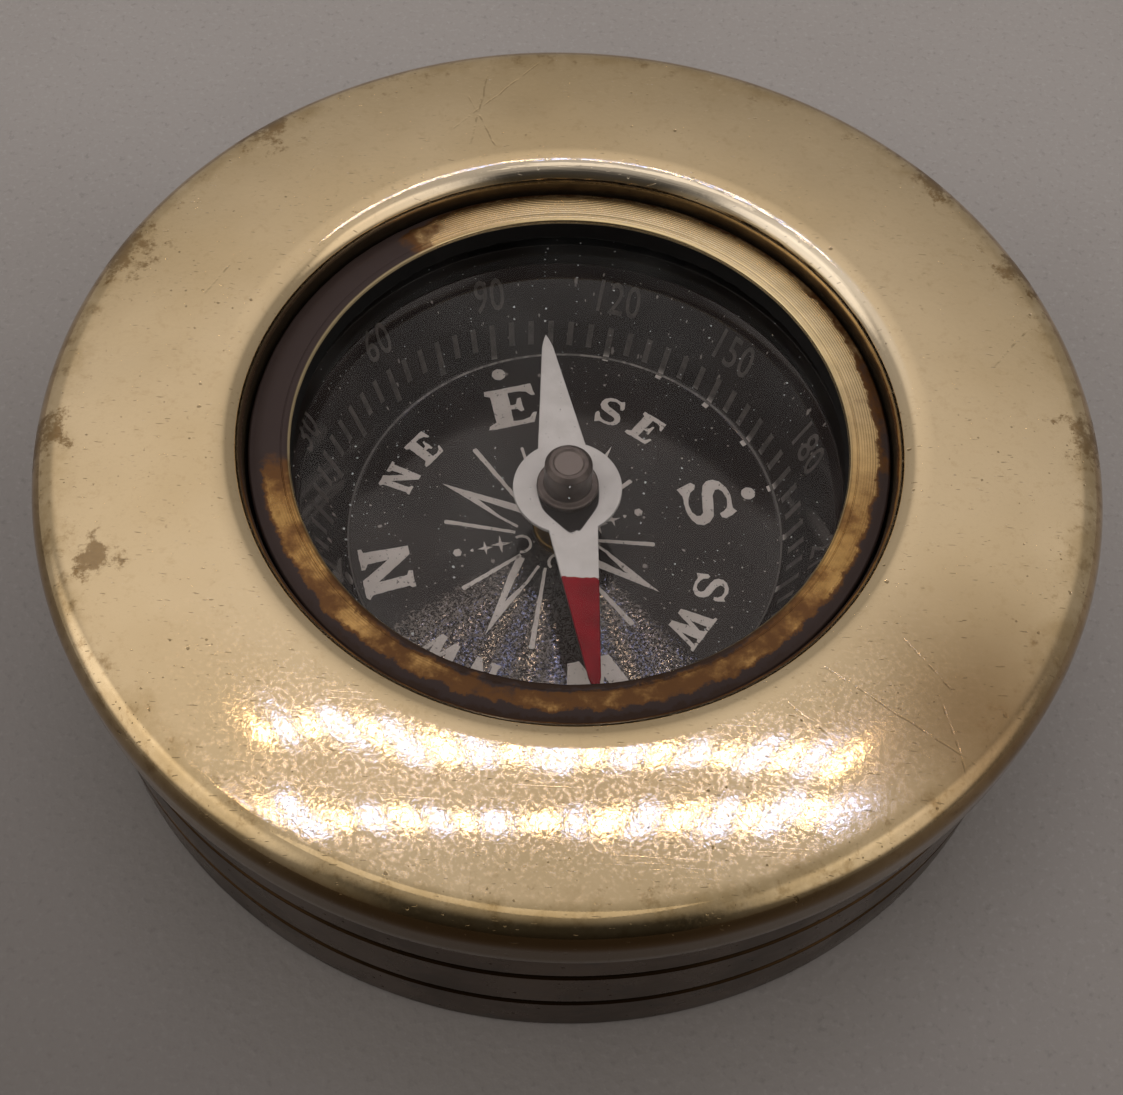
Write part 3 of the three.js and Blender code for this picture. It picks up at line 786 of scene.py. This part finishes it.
def pressed(point, lift):
    """Where a point of the flat printed sheet, in millimetres from the axis, lies on the pressed dial."""
    flat = math.hypot(point[0], point[1])
    radius, height = dial_profile(flat, lift)
    scale = radius / flat if flat else 1
    return point[0] * scale, point[1] * scale, height


SHEET = 0.4


def dial_outline():
    """The pressed dial: the same sheet's under and upper side, with a flat rim under the spacer."""
    rim_slant = DIAL_FOLD_RADIUS + (DIAL_RIM_Z - DIAL_FACE_Z) / math.sin(CONE_ANGLE)
    slants = [DIAL_FOLD_RADIUS - BEND_REACH + 2 * BEND_REACH * k / 8 for k in range(9)]
    slants = [1.2, 3, 6, 9, 12, 15] + slants + [18.2, 19.5, 21, 22.5, 24]
    upper = [dial_profile(slant, 0) for slant in slants]
    upper += [(DIAL_RIM_RADIUS - 0.03, DIAL_RIM_Z - 0.06), (DIAL_RIM_RADIUS + 0.05, DIAL_RIM_Z)]
    upper += [(GLASS_RADIUS, DIAL_RIM_Z)]
    under = [dial_profile(slant, -SHEET) for slant in slants + [rim_slant - SHEET]]
    return under + [(GLASS_RADIUS, DIAL_RIM_Z - SHEET)] + upper[::-1]


new_piece("dished_dial", *turned(dial_outline(), LARGE), ENAMEL, "root", "dial_enamel", ["dial_plate"])


# Print of the dial, drawn flat as polygons about the print's centre and then pressed with the sheet

def at(radius, degrees):
    """A place on the flat print, by radius and by degrees of the dial, clockwise from north."""
    angle = NORTH_BEARING - math.radians(degrees)
    return PRINT_CENTRE + radius * Vector((math.cos(angle), math.sin(angle)))


def along_bearing(degrees, points):
    """Points given as (outward, clockwise) from the print's centre, turned to a bearing."""
    out = at(1, degrees) - PRINT_CENTRE
    clockwise = Vector((out.y, -out.x))
    return [PRINT_CENTRE + out * x + clockwise * y for x, y in points]


def ray(degrees, inner, outer, inner_width, outer_width):
    """A thin ray with a blunt end."""
    points = [(inner, -inner_width / 2), (outer - 0.12, -outer_width / 2), (outer, -outer_width / 3),
              (outer, outer_width / 3), (outer - 0.12, outer_width / 2), (inner, inner_width / 2)]
    return along_bearing(degrees, points)


def spear(degrees, tip, lean):
    """A split spear: a broad half and a thin half with a slit between, leaning to one side."""
    def side(x, share):
        half = {tip: 0.0, 7.1: 0.42, 4.4: 0.85, 2.7: 1.0}[x]
        return lean * (tip - x) / (tip - 4.4) + half * share
    outer = [(x, side(x, 1)) for x in (2.7, 4.4, 7.1)]
    inner = [(x, side(x, -1)) for x in (7.1, 4.4, 2.7)]
    slit = [(2.7, side(2.7, -1) + 0.22), (4.4, side(4.4, -1) + 0.22), (6.75, side(7.1, 0.0)),
            (4.4, side(4.4, 1) - 0.62), (2.7, side(2.7, 1) - 0.62)]
    return along_bearing(degrees, [*outer, (tip, 0), *inner, *slit])


def star(radius, degrees, reach, waist, sides=4):
    """A small star or dot on the flat print."""
    centre = at(radius, degrees)
    points = []
    for k in range(sides * 2):
        angle = NORTH_BEARING - math.radians(degrees) + math.pi * k / sides
        away = reach if k % 2 == 0 else waist
        points.append(centre + away * Vector((math.cos(angle), math.sin(angle))))
    return points


def rose():
    """The compass rose: split spears, rays, a dot and stars at each side, and four loops at the middle."""
    shapes = [spear(45, 9.95, 0.35), spear(135, 10.05, 0.3), spear(225, 9.7, -0.35), spear(315, 10.0, 0.3)]
    for degrees, outer, near, far in (
            (24.6, 8.5, 0.26, 0.36), (155.4, 8.5, 0.26, 0.36), (199, 8.25, 0.26, 0.36),
            (340.5, 8.25, 0.26, 0.36), (68.6, 10.4, 0.24, 0.42), (111.5, 10.2, 0.24, 0.42),
            (246, 9.95, 0.24, 0.42), (293.5, 9.95, 0.24, 0.42), (90, 8.85, 0.2, 0.26), (270, 8.85, 0.2, 0.26)):
        shapes.append(ray(degrees, 2.8, outer, near, far))
    for degrees in (3.8, 176.2):
        shapes += [star(7.42, degrees, 0.36, 0.3, 6), star(6.25, degrees, 0.17, 0.12, 3),
                   star(5.2, degrees, 0.62, 0.17), star(3.95, degrees + 2, 0.8, 0.2)]
    opening = [1.15 + 2 * (math.pi - 1.15) * k / 10 for k in range(11)]
    for degrees in (0, 90, 180, 270):
        loop = [(2.35 + radius * math.cos(a), radius * math.sin(a))
                for radius, angles in ((0.62, opening), (0.84, opening[::-1])) for a in angles]
        shapes.append(along_bearing(degrees, loop))
    return [inked(shape) for shape in shapes]


# Heavy seriffed capitals: the points of each outline, in hundredths of the letter's height.
LETTERS = {
    "N": "10,2 46,2 48,9 38,14 35,70 84,0 103,0 106,88 115,90 115,98 68,98 68,91 79,84 80,44 44,100 6,100 "
         "0,93 9,86 12,52 14,14 10,9",
    "E": "0,2 14,0 96,1 106,24 99,25 88,14 73,11 54,13 56,42 70,41 75,33 82,34 82,68 75,67 69,53 57,52 "
         "59,85 82,84 96,80 106,68 113,68 111,98 12,98 10,88 21,82 19,17 3,10",
    "S": "67,87 54,90 36,87 29,81 29,73 40,65 66,58 88,51 98,40 102,26 96,13 81,5 65,2 45,3 27,6 9,-1 5,12 "
         "0,31 7,38 16,34 23,23 35,15 51,11 68,12 78,19 80,27 74,34 55,39 32,45 14,52 5,62 4,76 12,88 "
         "29,97 48,100 69,96 78,95 88,100 93,90 98,75 94,67 84,66 81,75 75,83",
    "W": "0,100 58,100 58,92 48,89 62,42 76,80 70,90 62,92 62,100 120,100 120,92 109,89 120,42 134,89 "
         "124,92 124,100 160,100 160,92 150,89 122,0 100,0 82,50 62,0 42,0 10,90 0,92",
}
LARGE_LETTER = (13.05, 4.0, 1.0)
SMALL_LETTER = (13.2, 2.75, 0.78)


def letter(name, degrees, radius, height, narrow):
    """A capital on the flat print, its top outward."""
    outline = [[int(part) / 100 for part in point.split(",")] for point in LETTERS[name].split()]
    wide = max(x for x, y in outline) / 2
    points = [(radius + (y - 0.5) * height, (x - wide) * height * narrow) for x, y in outline]
    return inked(along_bearing(degrees, points))


def letters():
    """The points of the compass; the two letters of a small point stand half a gap apart from its middle."""
    shapes = [letter(name, degrees, *LARGE_LETTER)
              for name, degrees in (("N", 1.4), ("E", 90.6), ("S", 179.6), ("W", 270))]
    for names, degrees, half in (("NE", 46.7, 7.5), ("SE", 134.5, 7.2), ("SW", 223, 8.2), ("NW", 316.2, 8.0)):
        shapes += [letter(names[0], degrees - half, *SMALL_LETTER),
                   letter(names[1], degrees + half, *SMALL_LETTER)]
    return shapes


def inked(outline, step=0.12, spread=0.035):
    """An outline as the pad prints it, its edge slightly uneven."""
    points = []
    for i, start in enumerate(outline):
        end = outline[(i + 1) % len(outline)]
        count = max(1, round((Vector(end) - Vector(start)).length / step))
        points += [Vector(start).lerp(Vector(end), k / count) for k in range(count)]
    return [p + spread * noise.noise_vector(Vector((p.x, p.y, 0)) / 0.3).to_2d() for p in points]


def face_numbers(form):
    form.verts.index_update()
    return [[v.index for v in face.verts] for face in form.faces]


def filled(outlines):
    """Triangles of flat outlines, as points and faces."""
    form = bmesh.new()
    for outline in outlines:
        verts = [form.verts.new((p[0], p[1], 0)) for p in outline]
        edges = [form.edges.new((verts[i - 1], verts[i])) for i in range(len(verts))]
        bmesh.ops.triangle_fill(form, edges=edges, use_beauty=True)
    points, faces = [v.co.to_2d() for v in form.verts], face_numbers(form)
    form.free()
    return points, faces


MARK_SIZES = {"Marks": 72, "Long every": 3, "Outer radius": 21.24, "Long inner radius": 18.1,
              "Short inner radius": 19.08, "Width": 0.5}


def degree_marks():
    """Geometry nodes that lay out the degree marks: one instance of a mark for each five degrees, longer
    at every third."""
    tree = bpy.data.node_groups.new("degree_marks", "GeometryNodeTree")
    for name, value in MARK_SIZES.items():
        kind = "NodeSocketInt" if isinstance(value, int) else "NodeSocketFloat"
        tree.interface.new_socket(name, in_out="INPUT", socket_type=kind)
    tree.interface.new_socket("Geometry", in_out="OUTPUT", socket_type="NodeSocketGeometry")
    given = add("NodeGroupInput", tree=tree).outputs
    index = add("GeometryNodeInputIndex", tree=tree).outputs[0]
    angle = times(index, times(math_of("DIVIDE", TAU, given["Marks"]), -1.0))
    short = math_of("MINIMUM", math_of("MODULO", index, given["Long every"]), 1.0)
    reach = minus(given["Short inner radius"], given["Long inner radius"])
    inner = plus(times(short, reach), given["Long inner radius"])
    length = minus(given["Outer radius"], inner)
    middle = plus(times(length, 0.5), inner)
    place = add("ShaderNodeCombineXYZ", {0: times(middle, math_of("COSINE", angle)),
                                         1: times(middle, math_of("SINE", angle))}).outputs[0]
    turn = add("ShaderNodeCombineXYZ", {2: angle}).outputs[0]
    scale = add("ShaderNodeCombineXYZ", {0: length, 1: given["Width"], 2: 1.0}).outputs[0]
    spots = add("GeometryNodePoints", {"Count": given["Marks"], "Position": place}).outputs[0]
    mark = add("GeometryNodeMeshGrid", {"Size X": 1.0, "Size Y": 1.0, "Vertices X": 6, "Vertices Y": 2}, tree)
    laid = add("GeometryNodeInstanceOnPoints", {"Points": spots, "Instance": mark.outputs[0], "Rotation": turn,
                                                "Scale": scale})
    real = add("GeometryNodeRealizeInstances", {"Geometry": laid.outputs[0]})
    dressed = add("GeometryNodeSetMaterial", {"Geometry": real.outputs[0], "Material": PRINT})
    add("NodeGroupOutput", {"Geometry": dressed.outputs[0]})
    return tree


def plain_mesh(holder):
    made = holder.evaluated_get(bpy.context.evaluated_depsgraph_get())
    return bpy.data.meshes.new_from_object(made)


def from_nodes(tree, values):
    """The plain mesh that a geometry node tree makes, with its inputs set by name."""
    holder = placed(tree.name, bpy.data.meshes.new(tree.name))
    modifier = holder.modifiers.new("nodes", "NODES")
    modifier.node_group = tree
    for item in tree.interface.items_tree:
        if item.in_out == "INPUT":
            modifier[item.identifier] = values[item.name]
    mesh = plain_mesh(holder)
    holder.modifiers.remove(modifier)
    bpy.data.objects.remove(holder)
    return mesh


def flat_faces(mesh):
    return [list(p.vertices) for p in mesh.polygons]


def marks_on_print():
    """The degree marks, turned so that their first lies at north."""
    mesh = from_nodes(degree_marks(), MARK_SIZES)
    turn = Matrix.Rotation(NORTH_BEARING, 2)
    points = [PRINT_CENTRE + turn @ v.co.to_2d() for v in mesh.vertices]
    faces = flat_faces(mesh)
    bpy.data.meshes.remove(mesh)
    return points, faces


NUMERAL_MIDDLE = 23.95
NUMERAL_HEIGHT = 2.95
NUMERAL_NARROW = 0.74


def numerals():
    """Thin numerals each thirty degrees, their tops outward, from the built-in face drawn narrow."""
    parts = []
    for degrees in range(30, 361, 30):
        text = bpy.data.curves.new("numeral", "FONT")
        text.body = str(degrees)
        text.align_x = "CENTER"
        text.resolution_u = 3
        text.offset = 0.006
        text.space_character = 1.05
        holder = placed("numeral", text)
        mesh = plain_mesh(holder)
        low = min(v.co.y for v in mesh.vertices)
        scale = NUMERAL_HEIGHT / (max(v.co.y for v in mesh.vertices) - low)
        flat = [(NUMERAL_MIDDLE + (v.co.y - low) * scale - NUMERAL_HEIGHT / 2, v.co.x * scale * NUMERAL_NARROW)
                for v in mesh.vertices]
        parts.append((along_bearing(degrees, flat), flat_faces(mesh)))
        bpy.data.objects.remove(holder)
        bpy.data.curves.remove(text)
        bpy.data.meshes.remove(mesh)
    return joined(parts)


def joined(parts):
    """One list of points and one of faces from several such pairs."""
    points, faces = [], []
    for some, theirs in parts:
        first = len(points)
        points += some
        faces += [[first + i for i in face] for face in theirs]
    return points, faces


def raised(points, faces):
    """A thin closed coat of print on the pressed dial, from flat points and faces."""
    form = bmesh.new()
    verts = [form.verts.new((p[0], p[1], 0)) for p in points]
    for face in faces:
        if len(set(face)) > 2:
            form.faces.new([verts[i] for i in face])
    bmesh.ops.recalc_face_normals(form, faces=form.faces)
    for face in form.faces:
        if face.normal.z < 0:
            face.normal_flip()
    tops, flat = [v.co.to_2d() for v in form.verts], face_numbers(form)
    rims = [[v.index for v in (edge.link_loops[0].vert, edge.link_loops[0].link_loop_next.vert)]
            for edge in form.edges if len(edge.link_loops) == 1]
    form.free()
    count = len(tops)
    solid = [pressed(p, PRINT_LIFT) for p in tops] + [pressed(p, -PRINT_LIFT) for p in tops]
    sides = flat + [[i + count for i in reversed(face)] for face in flat]
    sides += [[b, a, a + count, b + count] for a, b in rims]
    return solid, sides


def fold_line():
    """A thin printed ring on the fold, where the flat face turns up into the cone; its paler far part is a
    painted highlight on the bend.
    """
    inner, outer, sides = DIAL_FOLD_RADIUS - 0.16, DIAL_FOLD_RADIUS + 0.02, 240
    points = []
    for k in range(sides):
        way = Vector((math.cos(TAU * k / sides), math.sin(TAU * k / sides)))
        points += [way * inner, way * outer]
    count = len(points)
    return points, [[i, i + 1, (i + 3) % count, (i + 2) % count] for i in range(0, count, 2)]


dots = [star(16.47, degrees, 0.58, 0.56, 8) for degrees in (0, 90, 180, 270)]
flat_print = joined([filled(rose()), filled(letters()), filled(dots), marks_on_print(), numerals(),
                     fold_line()])
new_piece("dial_print", *raised(*flat_print), PRINT, "root", "dial_enamel")


# Pivot and needle

post = filleted([(0, 5.7, 0), (1.7, 5.7, 0), (1.9, 5.9, 0), (1.9, 6.1, 0), (1.15, 6.1, 0), (1.15, 6.5, 0),
                 (2.6, DIAL_FACE_Z, 0), (2.6, 7.1, 0.2), (1.3, 7.1, 0.1), (1.3, 10.2, 0.2), (0.43, 10.2, 0),
                 (0.43, 8.2, 0), (0, 8.2, 0)])
new_piece("post", *turned(post, 96, False), POST, "root", "side_brass", ["pivot_post"])


# The blade, as if it pointed along Y: how far each arm reaches, the radii of the ring and its hole, and
# an arm's half width at the ring and near the tip, with the length of the tip's curve.
WHITE_ARM = 14.7
RED_ARM = -17.4
BLADE_RING = 4.15
BLADE_HOLE = 1.65
ARM_HALF = 1.85
TIP_HALF = 0.45
TIP_LENGTH = 1.3


def blade_outline():
    """One closed loop round the blade with its two arms, white arm up, and the loop of its hole."""
    ring, half, tip_half, point = BLADE_RING, ARM_HALF, TIP_HALF, TIP_LENGTH
    meet = math.acos(half / ring)
    root = ring * math.sin(meet)

    def arm(side, reach):
        """One side of an arm, from the ring out to just before its tip."""
        way = math.copysign(1, reach)
        shoulder = Vector((side * tip_half, reach - way * point))
        control = Vector((side * tip_half / 2, reach - way * point / 3))
        tip = Vector((0, reach))
        start = Vector((side * half, way * root))
        edge = [start.lerp(shoulder, k / 12) for k in range(12)]
        return edge + [shoulder * (1 - t) ** 2 + 2 * control * t * (1 - t) + tip * t ** 2
                       for t in (k / 6 for k in range(6))]

    def bow(start, stop):
        angles = [start + (stop - start) * k / 40 for k in range(1, 40)]
        return [ring * Vector((math.cos(a), math.sin(a))) for a in angles]

    outer = []
    for side, middle, reach in ((1, 0, WHITE_ARM), (-1, math.pi, RED_ARM)):
        outer += bow(middle - meet, middle + meet)
        outer += arm(side, reach) + [Vector((0, reach))] + arm(-side, reach)[::-1]
    turns = [TAU * k / 64 for k in range(64)]
    return outer, [BLADE_HOLE * Vector((math.cos(a), math.sin(a))) for a in turns]


def blade_piece():
    """The blade: its flat outline filled, given its thickness and a rounded, painted-over edge."""
    outer, hole = blade_outline()
    turn = Matrix.Rotation(NEEDLE_BEARING - math.pi / 2, 4, "Z")
    form = bmesh.new()
    for loop in (outer, hole):
        verts = [form.verts.new(turn @ Vector((p.x, p.y, 0))) for p in loop]
        for i in range(len(verts)):
            form.edges.new((verts[i - 1], verts[i]))
    bmesh.ops.triangle_fill(form, edges=form.edges[:], use_beauty=True)
    for face in form.faces:
        if face.normal.z < 0:
            face.normal_flip()
    top = form.faces[:]
    lift = bmesh.ops.extrude_face_region(form, geom=top)
    for v in [g for g in lift["geom"] if isinstance(g, bmesh.types.BMVert)]:
        v.co.z += BLADE_TOP_Z - BLADE_BOTTOM_Z
    bmesh.ops.recalc_face_normals(form, faces=form.faces)
    sharp = [e for e in form.edges if len(e.link_faces) == 2 and e.calc_face_angle() > 1.0
             and abs(e.verts[0].co.z - e.verts[1].co.z) < 0.01]
    bmesh.ops.bevel(form, geom=sharp, offset=0.07, segments=3, profile=0.5, affect="EDGES",
                    clamp_overlap=True)
    verts = [(v.co.x, v.co.y, v.co.z + BLADE_BOTTOM_Z) for v in form.verts]
    faces = face_numbers(form)
    form.free()
    new_piece("blade", verts, faces, PAINT, "needle", "needle_paint", ["needle_blade"], 50)


blade_piece()
cap = filleted([(0.9, 11.7, 0), (1.85, 11.7, 0.1), (2.0, 11.85, 0.1), (2.0, BLADE_BOTTOM_Z, 0),
                (1.6, BLADE_BOTTOM_Z, 0), (1.6, BLADE_TOP_Z, 0), (2.35, BLADE_TOP_Z, 0), (2.35, 12.9, 0.15),
                (1.8, 12.9, 0.12), (1.8, 15.35, 0.12), (1.45, 15.7, 0.12), (1.2, 15.7, 0.05),
                (1.05, 15.55, 0.08), (0, 15.55, 0), (0, 15.2, 0), (0.9, 15.2, 0)])
new_piece("cap", *turned(cap, 128), CAP, "needle", "cap_brass", ["needle_cap"])


def dress(node, look):
    """Gives a CAD node that stays its own finish."""
    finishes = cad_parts[node].data.materials
    finishes.clear()
    finishes.append(look)


dress("capsule_cup", BLACKED)
dress("pivot_pin", STEEL)
dress("cap_jewel", AGATE)


# Floor and light, in metres

TABLE_REACH = 2.0


def table_top():
    """Plain warm grey laminate with a fine grain, and a painted shadow that darkens it towards the near left.
    """
    look, shader, place = new_look("table_laminate")
    x, y, z = axes(place)
    pale = ramp(grain(place, 0.5, 3, 0.6), 0.52, 0.72, 0.0, 0.35)
    dark = ramp(grain(place, 0.7, 3, 0.6), 0.55, 0.75, 0.0, 0.35)
    # Painted shadow: darker towards the near left.
    near = ramp(plus(times(x, 0.45), y), 0.03, -0.08, 0.0, 0.8)
    colour = layered(mix(ramp(grain(place, 40, 3), 0.3, 0.7), "9d9692", "968f8b"), (pale, 1.0, "b0aaa6"),
                     (dark, 1.0, "6a6461"), (near, 1.0, "4d4641"))
    give(shader, {"Base Color": colour, "Normal": bump(grain(place, 0.7, 2), 0.06), "Roughness": 0.6})
    mesh = bpy.data.meshes.new("table")
    corners = [(x * TABLE_REACH, y * TABLE_REACH, 0) for x, y in ((-1, -1), (1, -1), (1, 1), (-1, 1))]
    mesh.from_pydata(corners, [], [(0, 1, 2, 3)])
    mesh.materials.append(look)
    placed("table", mesh)


# Windows beside the camera, each a direction and a level, and the level of the wall that the camera sees.
WINDOWS = (((-0.80, -0.22, 0.56), 1.0), ((0.72, -0.40, 0.57), 0.9))
WALL_LEVEL = 0.8


def soft_room():
    """A plain bright room: brightest in its far ceiling, less overhead, with a bright window low on each
    side of the camera and the photographer's shade between them."""
    world = bpy.data.worlds.new("soft_room")
    bpy.context.scene.world = world
    world.use_nodes = True
    tree = world.node_tree
    way = add("ShaderNodeTexCoord", tree=tree).outputs["Generated"]
    x, y, z = axes(way)
    back = ramp(y, -0.5, 0.1, 0.75, 1.0)
    low = ramp(z, 0.0, 0.60, 0.42, 0.47)
    rise = ramp(z, 0.60, 0.86, 1.0, 2.05)
    high = ramp(z, 0.90, 0.965, 1.0, 0.82)
    left = ramp(x, -0.45, 0.35, 1.04, 0.84)
    level = times(back, low, high, left, rise)
    for where, most in WINDOWS:
        facing = vector_of("DOT_PRODUCT", way, where).outputs[1]
        level = plus(level, ramp(facing, 0.86, 0.97, 0.0, most))
    shade = times(ramp(math_of("ABSOLUTE", x), 0.60, 0.34), ramp(y, -0.15, -0.85, 0.0, 0.80))
    level = times(level, minus(1.0, shade))
    seen = add("ShaderNodeLightPath", tree=tree).outputs["Is Camera Ray"]
    level = add("ShaderNodeMix", {0: seen, 2: level, 3: WALL_LEVEL}).outputs[0]
    give(tree.nodes["Background"], {"Color": "fffcf8", "Strength": level})


def lamp(name, place, size, radiance, colour):
    """A rectangular area lamp that faces the object."""
    light = bpy.data.lights.new(name, "AREA")
    light.shape = "RECTANGLE"
    light.size, light.size_y = size
    light.energy = radiance * math.pi * size[0] * size[1]
    light.color = srgb(colour)[:3]
    holder = placed(name, light)
    holder.location = place
    holder.rotation_euler = Vector(place).to_track_quat("Z", "Y").to_euler()


# Lamps: size, radiance and colour.
SOFTBOX_PLACE = (-0.15, -0.22, 2.1)
SOFTBOX = ((1.2, 0.6), 0.7, "fff8ee")
WARM_LAMP = ((0.022, 0.055), 32, "ffe6c4")
COLD_PANEL = ((0.04, 0.10), 8, "8faaff")
CEILING_Z = 2.7
# Two bowed rows of small ceiling lamps: the row's middle, the gap from lamp to lamp, the first and last
# number, the distance behind the object and the bow.
LAMP_ROWS = ((0.0, 0.067, -9, 9, 1.20, 0.40), (0.2, 0.072, -13, 6, 0.92, 0.20))


def lights():
    """A soft key light overhead, and rows of warm lamps and cold panels by turns, which the ring mirrors."""
    lamp("key_softbox", SOFTBOX_PLACE, *SOFTBOX)
    for middle, gap, first, last, distance, bow in LAMP_ROWS:
        for k in range(first, last + 1):
            x = middle + k * gap
            place = (x, distance - bow * (x - middle) ** 2, CEILING_Z)
            if k % 2:
                lamp("warm_lamp", place, *WARM_LAMP)
            else:
                lamp("cold_panel", place, *COLD_PANEL)


table_top()
soft_room()
lights()
bpy.context.scene.view_settings.view_transform = "Standard"
